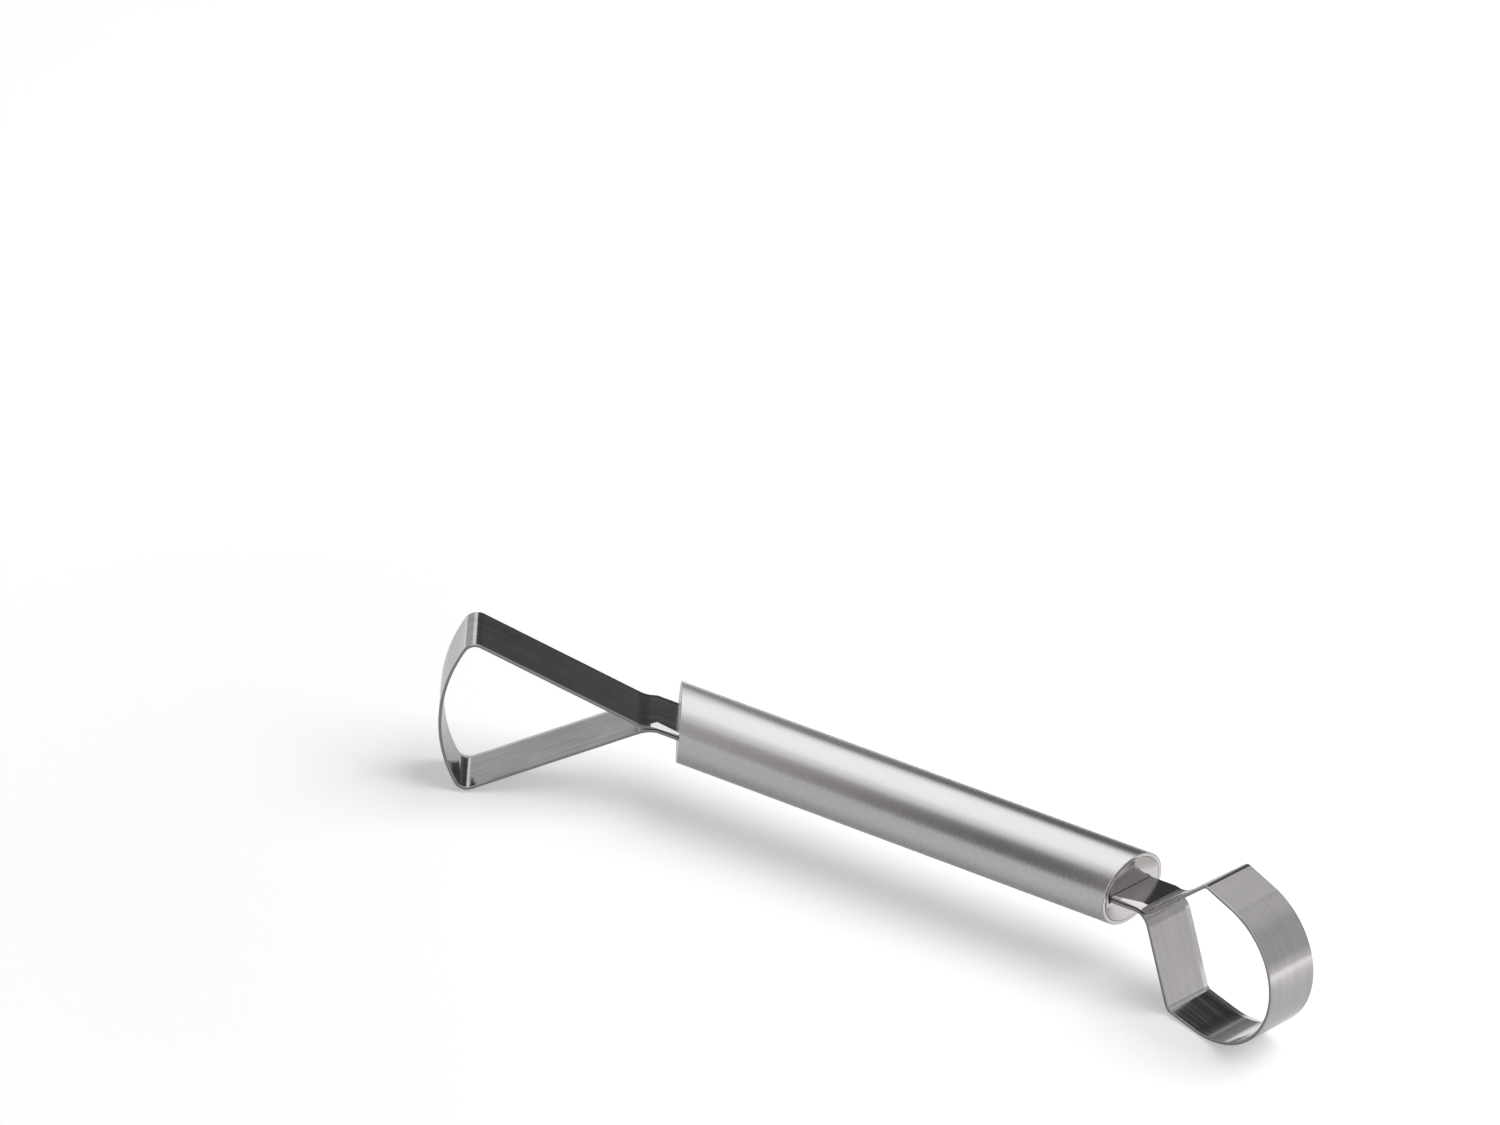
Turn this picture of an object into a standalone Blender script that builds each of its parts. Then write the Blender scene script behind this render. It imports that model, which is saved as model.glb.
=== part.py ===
"""Two-ended slicer for round fruit, in metres with +Z up.

The handle is a round steel tube, cut on the slant at both ends. A flat cap closes each
end, flush inside the tube. Out of each cap comes a loop of sharpened steel strip. The
large loop is a pointed wedge with a shallow arc across its end, and cuts slices free of
the rind. The small loop is a round one with two corners, and cuts pieces out of the core.

Each loop is one strip, bent round until its two ends lie together. The pair of ends is
the tang, which passes through a slot in the cap and runs in line with the handle. From
the folds on, the blade stands square on its slanted cap, so both loops lean to the same
side of the handle, like the ends of a shallow bow.

The handle's axis lies along X, with the large loop at -X. Both loops lean towards -Y.
The small loop is turned a little about its folds, towards -Z. The origin is under the
middle of the whole, level with the lowest point of the loops.

Each cap and loop is drawn in the frame of its own cap: +X is out of the cap, +Y runs
across the strip to its sharp rim, and Z is the handle's Z.
"""

import math
from dataclasses import dataclass

import bmesh
import bpy
from mathutils import Matrix, Vector

MM = 0.001

# Handle tube
HANDLE_DIAMETER = 19.0 * MM
HANDLE_WALL = 1.0 * MM
HANDLE_LENGTH = 121.0 * MM  # along the axis, from one slanted face to the other
HANDLE_FACETS = 96
RIM_CHAMFER = 0.2 * MM

# End caps
CAP_THICKNESS = 1.2 * MM
SEAT_GAP = 0.3 * MM  # weld gap round a cap, and round a tang in its slot
SLOT_END_SPACE = 0.45 * MM  # more slot left open past the blunt rim of the tang

# Strip that both loops are bent from
STRIP_THICKNESS = 0.8 * MM
LAYER_GAP = 0.3 * MM  # between the two ends of the strip in the tang
TANG_PAST_CAP = 0.5 * MM  # the ends stand this far behind the cap
GRIND_WIDTH = 1.8 * MM  # width of the ground bevel, on the inside of the loop
EDGE_THICKNESS = 0.25 * MM  # steel left at the sharp rim

ARC_TOLERANCE = 0.01 * MM  # how far a chord may lie inside its arc


@dataclass(frozen=True)
class LoopSizes:
    """Sizes of one loop. Its outline is measured on the outside of the strip."""

    cant: float  # lean of the loop and slant of its cap
    blade_width: float  # across the strip, blunt rim to sharp rim
    blade_middle: float  # the blade's middle line, across the cap from the handle's axis
    blunt_land: float  # bore wall to the blunt rim of the tang, along the cap
    sharp_land: float  # bore wall to the other rim of the tang
    slide_length: float  # out of the cap, how far the tang runs in line with the handle
    neck_length: float  # cap to the point where tang and legs would meet without folds
    fold_radius: float  # where a layer turns away from the other
    half_opening: float  # angle between a leg and the loop's middle line
    leg_length: float  # from that meeting point to the corner
    corner_radius: float
    shoulder_fall: float  # slope towards the middle line, past the corner
    shoulder_length: float  # straight piece of strip between the corner and the end arc
    tilt: float  # turn of the loop about the meeting point, towards +Z


LARGE_LOOP = LoopSizes(
    cant=math.radians(28.2),
    blade_width=14.5 * MM,
    blade_middle=2.6 * MM,
    blunt_land=2.6 * MM,
    sharp_land=3.0 * MM,
    slide_length=5.3 * MM,
    neck_length=8.6 * MM,
    fold_radius=7.6 * MM,
    half_opening=math.radians(26.3),
    leg_length=44.6 * MM,
    corner_radius=3.4 * MM,
    shoulder_fall=math.radians(61.7),
    shoulder_length=0.0,
    tilt=0.0,
)

SMALL_LOOP = LoopSizes(
    cant=math.radians(19.2),
    blade_width=14.5 * MM,
    blade_middle=2.1 * MM,
    blunt_land=1.9 * MM,
    sharp_land=2.7 * MM,
    slide_length=6.2 * MM,
    neck_length=9.2 * MM,
    fold_radius=4.1 * MM,
    half_opening=math.radians(55.2),
    leg_length=21.8 * MM,
    corner_radius=2.0 * MM,
    shoulder_fall=math.radians(3.6),
    shoulder_length=7.5 * MM,
    tilt=math.radians(-7.5),
)

HANDLE_RADIUS = HANDLE_DIAMETER / 2
BORE_RADIUS = HANDLE_RADIUS - HANDLE_WALL
TANG_HALF_HEIGHT = STRIP_THICKNESS + LAYER_GAP / 2


def clear_scene():
    """Remove every object of the open file."""
    for old in list(bpy.data.objects):
        bpy.data.objects.remove(old, do_unlink=True)


def steel(name, color, roughness):
    """Return a metallic material."""
    material = bpy.data.materials.new(name)
    material.use_nodes = True
    shader = material.node_tree.nodes["Principled BSDF"]
    shader.inputs["Base Color"].default_value = (*color, 1.0)
    shader.inputs["Metallic"].default_value = 1.0
    shader.inputs["Roughness"].default_value = roughness
    return material


def finish_object(name, shape, material, sharp_angle=math.radians(30.0)):
    """Turn a bmesh into a named object, smooth on its round sides."""
    bmesh.ops.recalc_face_normals(shape, faces=shape.faces)
    mesh = bpy.data.meshes.new(name)
    shape.to_mesh(mesh)
    shape.free()
    mesh.shade_smooth()
    mesh.set_sharp_from_angle(angle=sharp_angle)
    mesh.materials.append(material)
    piece = bpy.data.objects.new(name, mesh)
    bpy.context.scene.collection.objects.link(piece)
    return piece


def tang_rims(sizes):
    """Return where the blunt and the other rim of the tang stand across the cap's face."""
    half_chord = math.sqrt(BORE_RADIUS**2 - TANG_HALF_HEIGHT**2) / math.cos(sizes.cant)
    return sizes.blunt_land - half_chord, half_chord - sizes.sharp_land


def blade_rims(sizes):
    """Return the same for the blade."""
    half_width = sizes.blade_width / 2
    return sizes.blade_middle - half_width, sizes.blade_middle + half_width


def arc_angles(radius, start, end):
    """Return the angles of an arc's points after its first, fine enough for its radius."""
    step = 2 * math.acos(1 - ARC_TOLERANCE / max(radius, 2 * ARC_TOLERANCE))
    count = max(4, math.ceil(abs(end - start) / step))
    return [start + (end - start) * i / count for i in range(1, count + 1)]


def heading(angle):
    """Return the unit vector at an angle from the loop's middle line."""
    return Vector((math.cos(angle), math.sin(angle)))


def half_outline(sizes, tilt):
    """Return the upper half of a loop's outer outline, from the tang to the far tip.

    The loop's middle line lies along X, and the origin is the point where tang and legs
    would meet. Each station is (point, inward normal, share of the fold made). Points
    and normals lie in the plane of the loop.
    """
    stations = []
    tang = heading(-tilt)
    tang_in = Vector((tang.y, -tang.x))
    leg = heading(sizes.half_opening)
    leg_in = Vector((leg.y, -leg.x))

    # Straight tang, from behind the cap
    for out_of_cap in (-CAP_THICKNESS - TANG_PAST_CAP, sizes.slide_length):
        point = (out_of_cap - sizes.neck_length) * tang - TANG_HALF_HEIGHT * tang_in
        stations.append((point, tang_in, 0.0))

    # The fold touches the outer lines of tang and leg, and turns about a centre outside
    turn = sizes.half_opening + tilt
    leg_start = Vector((0.0, TANG_HALF_HEIGHT))
    crossing = leg_start + TANG_HALF_HEIGHT * (1 - math.cos(tilt)) / math.sin(turn) * leg
    fold_start = crossing - sizes.fold_radius * math.tan(turn / 2) * tang
    centre = fold_start - sizes.fold_radius * tang_in
    stations.append((fold_start, tang_in, 0.0))
    first = -math.pi / 2 - tilt
    for angle in arc_angles(sizes.fold_radius, first, first + turn):
        away = heading(angle)
        stations.append((centre + sizes.fold_radius * away, away, (angle - first) / turn))

    # Straight leg, rounded corner, and a shoulder where there is one
    leg_end = leg_start + sizes.leg_length * leg
    stations.append((leg_end, leg_in, 1.0))
    corner = leg_end + sizes.corner_radius * leg_in
    corner_end = math.pi / 2 - sizes.shoulder_fall
    for angle in arc_angles(sizes.corner_radius, sizes.half_opening + math.pi / 2, corner_end):
        away = heading(angle)
        stations.append((corner + sizes.corner_radius * away, -away, 1.0))
    arc_start, inward, made = stations[-1]
    if sizes.shoulder_length > 0.0:
        arc_start = arc_start + sizes.shoulder_length * heading(-sizes.shoulder_fall)
        stations.append((arc_start, inward, made))

    # The arc across the end carries on from there, about a centre on the middle line
    end_radius = arc_start.y / math.cos(sizes.shoulder_fall)
    end_centre = Vector((arc_start.x - end_radius * math.sin(sizes.shoulder_fall), 0.0))
    for angle in arc_angles(end_radius, corner_end, 0.0):
        away = heading(angle)
        stations.append((end_centre + end_radius * away, -away, 1.0))
    return stations


def whole_outline(sizes):
    """Return the outline round the loop, from one end of the strip to the other."""
    halves = ((1.0, half_outline(sizes, sizes.tilt)), (-1.0, half_outline(sizes, -sizes.tilt)))
    to_cap = Matrix.Rotation(sizes.tilt, 2)
    stations = []
    for side, half in halves:
        placed = []
        for point, inward, made in half:
            there = to_cap @ Vector((point.x, side * point.y))
            there.x += sizes.neck_length
            placed.append((there, to_cap @ Vector((inward.x, side * inward.y)), made))
        if side < 0.0:
            placed = list(reversed(placed[:-1]))
        stations.extend(placed)
    return stations


def strip_section(station, sizes):
    """Return the five corners of the strip's section at one station of the outline."""
    point, inward, made = station
    slide = min(point.x, sizes.slide_length) * math.tan(sizes.cant)
    tang = [rim + slide for rim in tang_rims(sizes)]
    blade = blade_rims(sizes)
    blunt = tang[0] + (blade[0] - tang[0]) * made
    sharp = tang[1] + (blade[1] - tang[1]) * made
    edge_depth = STRIP_THICKNESS - (STRIP_THICKNESS - EDGE_THICKNESS) * made
    corners = [
        (0.0, blunt),
        (0.0, sharp),
        (edge_depth, sharp),
        (STRIP_THICKNESS, sharp - GRIND_WIDTH),
        (STRIP_THICKNESS, blunt),
    ]
    places = []
    for depth, across in corners:
        in_plane = point + depth * inward
        places.append(Vector((in_plane.x, across, in_plane.y)))
    return places


def make_loop(name, sizes, material):
    """Bend one ground strip into a loop, in the frame of its cap."""
    shape = bmesh.new()
    rings = []
    for station in whole_outline(sizes):
        rings.append([shape.verts.new(place) for place in strip_section(station, sizes)])
    corners = len(rings[0])
    for before, after in zip(rings, rings[1:]):
        for i in range(corners):
            j = (i + 1) % corners
            shape.faces.new((before[i], before[j], after[j], after[i]))
    shape.faces.new(rings[0])
    shape.faces.new(list(reversed(rings[-1])))
    return finish_object(name, shape, material)


def make_handle(material):
    """Make the open tube, cut on the slant at both ends."""
    shape = bmesh.new()
    for radius in (HANDLE_RADIUS, BORE_RADIUS):
        bmesh.ops.create_circle(shape, segments=HANDLE_FACETS, radius=radius)
    bmesh.ops.bridge_loops(shape, edges=shape.edges[:])
    wall = bmesh.ops.extrude_face_region(shape, geom=shape.faces[:])
    far_end = {item for item in wall["geom"] if isinstance(item, bmesh.types.BMVert)}

    # The circles are drawn in X and Y: they turn to face along the axis, and each end
    # then slides along the axis onto its slanted plane
    for vertex in shape.verts:
        across, up = vertex.co.x, vertex.co.y
        if vertex in far_end:
            along = HANDLE_LENGTH / 2 + across * math.tan(SMALL_LOOP.cant)
        else:
            along = -HANDLE_LENGTH / 2 - across * math.tan(LARGE_LOOP.cant)
        vertex.co = Vector((along, across, up))

    bmesh.ops.recalc_face_normals(shape, faces=shape.faces)
    rims = [edge for edge in shape.edges if edge.calc_face_angle(0.0) > math.radians(45.0)]
    bmesh.ops.bevel(shape, geom=rims, offset=RIM_CHAMFER, segments=1, affect="EDGES")
    return finish_object("handle_tube", shape, material)


def make_cap(name, sizes, material):
    """Make a cap that fills the slanted bore, with the slot that the tang passes.

    Its side and its slot both run in line with the handle.
    """
    slant = math.tan(sizes.cant)
    shape = bmesh.new()
    bmesh.ops.create_circle(
        shape, segments=HANDLE_FACETS, radius=BORE_RADIUS - SEAT_GAP, cap_ends=True
    )
    for vertex in shape.verts:
        vertex.co = Vector((0.0, vertex.co.x / math.cos(sizes.cant), vertex.co.y))
    back = bmesh.ops.extrude_face_region(shape, geom=shape.faces[:])
    moved = [item for item in back["geom"] if isinstance(item, bmesh.types.BMVert)]
    to_back = Vector((-CAP_THICKNESS, -CAP_THICKNESS * slant, 0.0))
    bmesh.ops.translate(shape, verts=moved, vec=to_back)
    cap = finish_object(name, shape, material)

    blunt, sharp = tang_rims(sizes)
    low = Vector((-2 * CAP_THICKNESS, blunt - SEAT_GAP - SLOT_END_SPACE, -TANG_HALF_HEIGHT - SEAT_GAP))
    high = Vector((CAP_THICKNESS, sharp + SEAT_GAP, TANG_HALF_HEIGHT + SEAT_GAP))
    block = bmesh.new()
    bmesh.ops.create_cube(block, size=1.0)
    bmesh.ops.scale(block, vec=high - low, verts=block.verts)
    bmesh.ops.translate(block, vec=(high + low) / 2, verts=block.verts)
    for vertex in block.verts:
        vertex.co.y += vertex.co.x * slant
    cutter = finish_object(name + "_slot_cutter", block, material)
    cutter.hide_render = True
    cutter.display_type = "WIRE"
    cutter.parent = cap

    slot = cap.modifiers.new("slot", "BOOLEAN")
    slot.operation = "DIFFERENCE"
    slot.solver = "EXACT"
    slot.object = cutter
    return cap


def stand_on_ground(root, pieces):
    """Move the whole until its box stands on the origin, centred in X and Y."""
    bpy.context.view_layer.update()
    corners = []
    for piece in pieces:
        corners.extend(piece.matrix_world @ vertex.co for vertex in piece.data.vertices)
    low = Vector([min(corner[i] for corner in corners) for i in range(3)])
    high = Vector([max(corner[i] for corner in corners) for i in range(3)])
    root.location = (-(low.x + high.x) / 2, -(low.y + high.y) / 2, -low.z)


def build():
    """Model the slicer."""
    clear_scene()
    brushed = steel("brushed_steel", (0.62, 0.60, 0.60), 0.34)
    cap_steel = steel("polished_cap_steel", (0.66, 0.63, 0.62), 0.16)
    large_steel = steel("large_blade_steel", (0.60, 0.60, 0.61), 0.18)
    small_steel = steel("small_blade_steel", (0.62, 0.61, 0.61), 0.20)

    root = bpy.data.objects.new("slicer", None)
    bpy.context.scene.collection.objects.link(root)

    handle = make_handle(brushed)
    handle.parent = root
    pieces = [handle]

    # Half a turn about Y faces the large end along -X
    ends = (
        ("large", LARGE_LOOP, -HANDLE_LENGTH / 2, (0.0, math.pi, LARGE_LOOP.cant), large_steel),
        ("small", SMALL_LOOP, HANDLE_LENGTH / 2, (0.0, 0.0, -SMALL_LOOP.cant), small_steel),
    )
    for label, sizes, along, turn, blade_steel in ends:
        cap = make_cap(label + "_end_cap", sizes, cap_steel)
        loop = make_loop(label + "_blade_loop", sizes, blade_steel)
        for piece in (cap, loop):
            piece.parent = root
            piece.location = (along, 0.0, 0.0)
            piece.rotation_euler = turn
            pieces.append(piece)
    stand_on_ground(root, pieces)


build()
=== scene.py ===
"""Looks of the two-ended slicer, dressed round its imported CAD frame.

The slicer is a brushed tube cut on the slant at both ends, a polished cap in each end,
and a loop of ground steel strip out of each cap. Every piece here is modelled afresh at
the size of its CAD node, with rounded rims and finer bends, and replaces that node.
"""
import logging
import math
from dataclasses import dataclass
from enum import Enum
from typing import Any, Callable, Iterable

import bmesh
import bpy
from mathutils import Matrix, Vector
from mathutils.kdtree import KDTree


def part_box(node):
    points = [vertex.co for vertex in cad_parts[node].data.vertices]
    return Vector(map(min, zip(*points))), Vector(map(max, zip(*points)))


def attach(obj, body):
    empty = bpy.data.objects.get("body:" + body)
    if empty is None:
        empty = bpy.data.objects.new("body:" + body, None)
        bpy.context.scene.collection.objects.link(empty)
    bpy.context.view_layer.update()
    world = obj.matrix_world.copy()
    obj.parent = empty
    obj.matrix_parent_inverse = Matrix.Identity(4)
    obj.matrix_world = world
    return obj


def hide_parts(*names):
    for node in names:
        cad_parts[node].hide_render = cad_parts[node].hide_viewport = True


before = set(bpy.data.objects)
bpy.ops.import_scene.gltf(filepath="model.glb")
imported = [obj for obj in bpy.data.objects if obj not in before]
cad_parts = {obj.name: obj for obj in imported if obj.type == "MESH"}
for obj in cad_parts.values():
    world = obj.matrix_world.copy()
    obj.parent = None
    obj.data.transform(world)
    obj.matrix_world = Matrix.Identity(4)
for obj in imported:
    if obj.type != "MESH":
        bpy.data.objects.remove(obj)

MM = 0.001
DEG = math.pi / 180
QUARTER_TURN = math.pi / 2
BODY = "root"
PHOTO_WIDTH_PX = 1500
PHOTO_HEIGHT_PX = 1125
STRIP_MAP = "strip"
CUT_EDGE = "cut_edge"
WHITE = (1.0, 1.0, 1.0)
BLACK = (0.0, 0.0, 0.0)
ORIGIN = (0.0, 0.0, 0.0)

# A vertex this near to a place or a plane counts as lying on it
NEAR = 0.02 * MM

# A noise seldom goes below the first of these or above the second
NOISE_LOW = 0.3
NOISE_HIGH = 0.7

# Sockets of a Mix node for the share, the first, the second and the result
MIX_SOCKETS = {"FLOAT": (0, 2, 3, 0), "RGBA": (0, 6, 7, 2)}

Pair = tuple[float, float]
Triple = tuple[float, float, float]
Ease = tuple[Pair, Pair]
Piece = bpy.types.Object
Socket = bpy.types.NodeSocket
Value = Socket | float | Triple
Values = dict[int | str, Value]
EdgeTest = Callable[[bmesh.types.BMEdge], bool]

log = logging.getLogger("slicer")


class End(Enum):
    """The two ends of the handle."""

    LARGE = "large"
    SMALL = "small"


@dataclass(frozen=True)
class Handle:
    """Sizes of the handle, as the CAD has them, with the corners of the tube's box."""

    low: Vector
    high: Vector
    wall: float = 1.0 * MM
    cap_thickness: float = 1.2 * MM
    seam: float = 0.04 * MM
    slot_clearance: float = 0.12 * MM
    slot_end_space: float = 0.75 * MM
    tang_past_cap: float = 0.5 * MM

    @property
    def radius(self) -> float:
        """Outer radius of the tube."""
        return (self.high.z - self.low.z) / 2

    @property
    def bore(self) -> float:
        """Inner radius of the tube."""
        return self.radius - self.wall

    @property
    def middle(self) -> Vector:
        """Middle of the tube."""
        return (self.low + self.high) / 2


HANDLE = Handle(*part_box("handle_tube"))


@dataclass(frozen=True)
class StripSizes:
    """Sizes of the strip that both loops are bent from."""

    thickness: float = 0.8 * MM
    layer_gap: float = 0.3 * MM
    grind_width: float = 1.8 * MM
    edge_thickness: float = 0.25 * MM
    rim_round: float = 0.16 * MM

    @property
    def tang_half_height(self) -> float:
        """Height of the tang's outer face above its middle."""
        return self.thickness + self.layer_gap / 2


STRIP = StripSizes()


@dataclass(frozen=True)
class LoopSizes:
    """Sizes of one loop on the outside of its strip, as the CAD has them."""

    cant: float
    blade_middle: float
    blunt_land: float
    sharp_land: float
    slide_length: float
    neck_length: float
    fold_radius: float
    half_opening: float
    leg_length: float
    corner_radius: float
    shoulder_fall: float
    slope_widths: Triple
    slope_depths: Triple
    blade_width: float = 14.5 * MM
    shoulder_length: float = 0.0
    tilt: float = 0.0

    @property
    def tang_rims(self) -> Pair:
        """Places of the tang's two rims across the cap's face."""
        chord = math.sqrt(HANDLE.bore**2 - STRIP.tang_half_height**2) / math.cos(self.cant)
        return self.blunt_land - chord, chord - self.sharp_land

    @property
    def blade_rims(self) -> Pair:
        """Places of the blade's two rims across the cap."""
        return self.blade_middle - self.blade_width / 2, self.blade_middle + self.blade_width / 2

    def slide(self, out_of_cap: float) -> float:
        """How far the tang has moved across, at a distance out of the cap."""
        return min(out_of_cap, self.slide_length) * math.tan(self.cant)


LOOPS = {
    End.LARGE: LoopSizes(
        cant=28.2 * DEG,
        blade_middle=2.6 * MM,
        blunt_land=2.6 * MM,
        sharp_land=3.0 * MM,
        slide_length=5.3 * MM,
        neck_length=8.6 * MM,
        fold_radius=7.6 * MM,
        half_opening=26.3 * DEG,
        leg_length=44.6 * MM,
        corner_radius=3.4 * MM,
        shoulder_fall=61.7 * DEG,
        slope_widths=(0.7 * MM, 1.9 * MM, 0.8 * MM),
        slope_depths=(0.28 * MM, 0.58 * MM, 0.2 * MM),
    ),
    End.SMALL: LoopSizes(
        cant=19.2 * DEG,
        blade_middle=2.1 * MM,
        blunt_land=1.9 * MM,
        sharp_land=2.7 * MM,
        slide_length=6.2 * MM,
        neck_length=9.2 * MM,
        fold_radius=4.1 * MM,
        half_opening=55.2 * DEG,
        leg_length=21.8 * MM,
        corner_radius=2.0 * MM,
        shoulder_fall=3.6 * DEG,
        shoulder_length=7.5 * MM,
        tilt=-7.5 * DEG,
        slope_widths=(0.3 * MM, 1.9 * MM, 2.1 * MM),
        slope_depths=(0.1 * MM, 0.56 * MM, 0.6 * MM),
    ),
}


def heading(angle: float) -> Vector:
    """Return the unit vector at an angle from the middle line of a loop."""
    return Vector((math.cos(angle), math.sin(angle)))


@dataclass(frozen=True)
class HalfOutline:
    """Key points of one half of a loop's outline, in the plane of its cap's frame."""

    fold_start: Vector
    fold_centre: Vector
    leg_start: Vector
    leg_end: Vector
    corner_centre: Vector
    corner_end: Vector
    shoulder_end: Vector
    end_centre: Vector
    fold_turn: float

    @classmethod
    def draw(cls, sizes: LoopSizes, side: float) -> "HalfOutline":
        """Find the points of one half.

        Args:
            sizes: Sizes of the loop.
            side: 1 for the upper half, -1 for the lower.

        Returns:
            The half's points.
        """
        tilt = side * sizes.tilt
        turn = sizes.half_opening + tilt
        height = STRIP.tang_half_height
        root = Vector((0.0, height))
        tang = heading(-tilt)
        tang_out = Vector((-tang.y, tang.x))
        leg = heading(sizes.half_opening)
        leg_in = Vector((leg.y, -leg.x))

        # Tang and leg would meet here, and the fold's arc touches both
        meeting = root + height * (1 - math.cos(tilt)) / math.sin(turn) * leg
        reach = sizes.fold_radius * math.tan(turn / 2)
        leg_end = root + sizes.leg_length * leg
        corner = leg_end + sizes.corner_radius * leg_in
        corner_end = corner + sizes.corner_radius * heading(QUARTER_TURN - sizes.shoulder_fall)
        shoulder_end = corner_end + sizes.shoulder_length * heading(-sizes.shoulder_fall)
        end_centre = Vector((shoulder_end.x - shoulder_end.y * math.tan(sizes.shoulder_fall), 0.0))
        drawn = (
            meeting - reach * tang,
            meeting - reach * tang + sizes.fold_radius * tang_out,
            meeting + reach * leg,
            leg_end, corner, corner_end, shoulder_end, end_centre,
        )
        to_cap = Matrix.Rotation(sizes.tilt, 2)
        neck = Vector((sizes.neck_length, 0.0))
        placed = [to_cap @ Vector((point.x, side * point.y)) + neck for point in drawn]
        return cls(*placed, turn)


def select_only(piece: Piece) -> None:
    """Leave one object selected and active, in object mode.

    Args:
        piece: The object to select.
    """
    if bpy.context.mode != "OBJECT":
        bpy.ops.object.mode_set(mode="OBJECT")
    bpy.ops.object.select_all(action="DESELECT")
    piece.select_set(True)
    bpy.context.view_layer.objects.active = piece


def enter_edit(piece: Piece, action: str = "DESELECT") -> None:
    """Open an object in edit mode with nothing selected, or all of it.

    Args:
        piece: The object to edit.
        action: Blender's word for what to select.
    """
    select_only(piece)
    bpy.ops.object.mode_set(mode="EDIT")
    bpy.ops.mesh.select_mode(type="EDGE")
    bpy.ops.mesh.select_all(action=action)


def select_edges(piece: Piece, wanted: EdgeTest) -> int:
    """Select the edges of an object in edit mode that pass a test.

    Args:
        piece: The object in edit mode.
        wanted: The test on one edge.

    Returns:
        The number of edges selected.
    """
    bpy.ops.mesh.select_all(action="DESELECT")
    shape = bmesh.from_edit_mesh(piece.data)
    chosen = [edge for edge in shape.edges if wanted(edge)]
    for edge in chosen:
        edge.select_set(True)
    bmesh.update_edit_mesh(piece.data)
    return len(chosen)


def round_edges(piece: Piece, wanted: EdgeTest, width: float, segments: int, smooth_angle: float) -> None:
    """Bevel the edges of an object that pass a test, and shade it smooth.

    Args:
        piece: The object.
        wanted: The test on one edge.
        width: How far the bevel goes back from the edge.
        segments: Number of its facets.
        smooth_angle: The angle between faces past which an edge stays sharp.
    """
    enter_edit(piece)
    select_edges(piece, wanted)
    bpy.ops.mesh.bevel(offset=width, segments=segments, affect="EDGES")
    select_only(piece)
    bpy.ops.object.shade_smooth_by_angle(angle=smooth_angle)


def modify(piece: Piece, kind: str, **settings: Any) -> None:
    """Give an object a modifier and apply it.

    Args:
        piece: The object.
        kind: Blender's name for what the modifier does.
        **settings: How it is set.
    """
    modifier = piece.modifiers.new(kind, kind)
    for name, setting in settings.items():
        setattr(modifier, name, setting)
    select_only(piece)
    bpy.ops.object.modifier_apply(modifier=modifier.name)


def bake_place(piece: Piece) -> None:
    """Put an object's place, turn and scale into its mesh."""
    select_only(piece)
    bpy.ops.object.transform_apply(location=True, rotation=True, scale=True)


def settle(piece: Piece, place: Matrix) -> None:
    """Carry a piece from its own frame to the row frame."""
    piece.matrix_world = place
    bake_place(piece)


def add_primitive(name: str, adder: Callable[..., Any], **settings: Any) -> Piece:
    """Add a primitive on its own, with its place in its mesh.

    Args:
        name: Name of the new object.
        adder: Blender's operator that adds it.
        **settings: What the operator is told.

    Returns:
        The new object.
    """
    bpy.ops.object.select_all(action="DESELECT")
    adder(**settings)
    piece = bpy.context.active_object
    piece.name = name
    bake_place(piece)
    return piece


def extrude_solid(piece: Piece, step: Triple) -> None:
    """Extrude an object that is one face into a closed solid.

    Args:
        piece: The object.
        step: How far the face is carried.
    """
    enter_edit(piece, "SELECT")
    bpy.ops.mesh.extrude_region_move(TRANSFORM_OT_translate={"value": step})
    bpy.ops.mesh.select_all(action="SELECT")
    bpy.ops.mesh.normals_make_consistent(inside=False)
    bpy.ops.object.mode_set(mode="OBJECT")


def end_frame(end: End) -> Matrix:
    """Return the frame of one cap: X out of it, Y across the strip, Z up.

    Args:
        end: Which end of the handle.

    Returns:
        The matrix that carries that frame to the row frame.
    """
    cant = LOOPS[end].cant
    lean = HANDLE.radius * math.tan(cant)
    centre = HANDLE.middle
    if end is End.LARGE:
        centre.x = HANDLE.low.x + lean
        turn = Matrix.Rotation(cant, 4, "Z") @ Matrix.Rotation(math.pi, 4, "Y")
    else:
        centre.x = HANDLE.high.x - lean
        turn = Matrix.Rotation(-cant, 4, "Z")
    return Matrix.Translation(centre) @ turn


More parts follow.
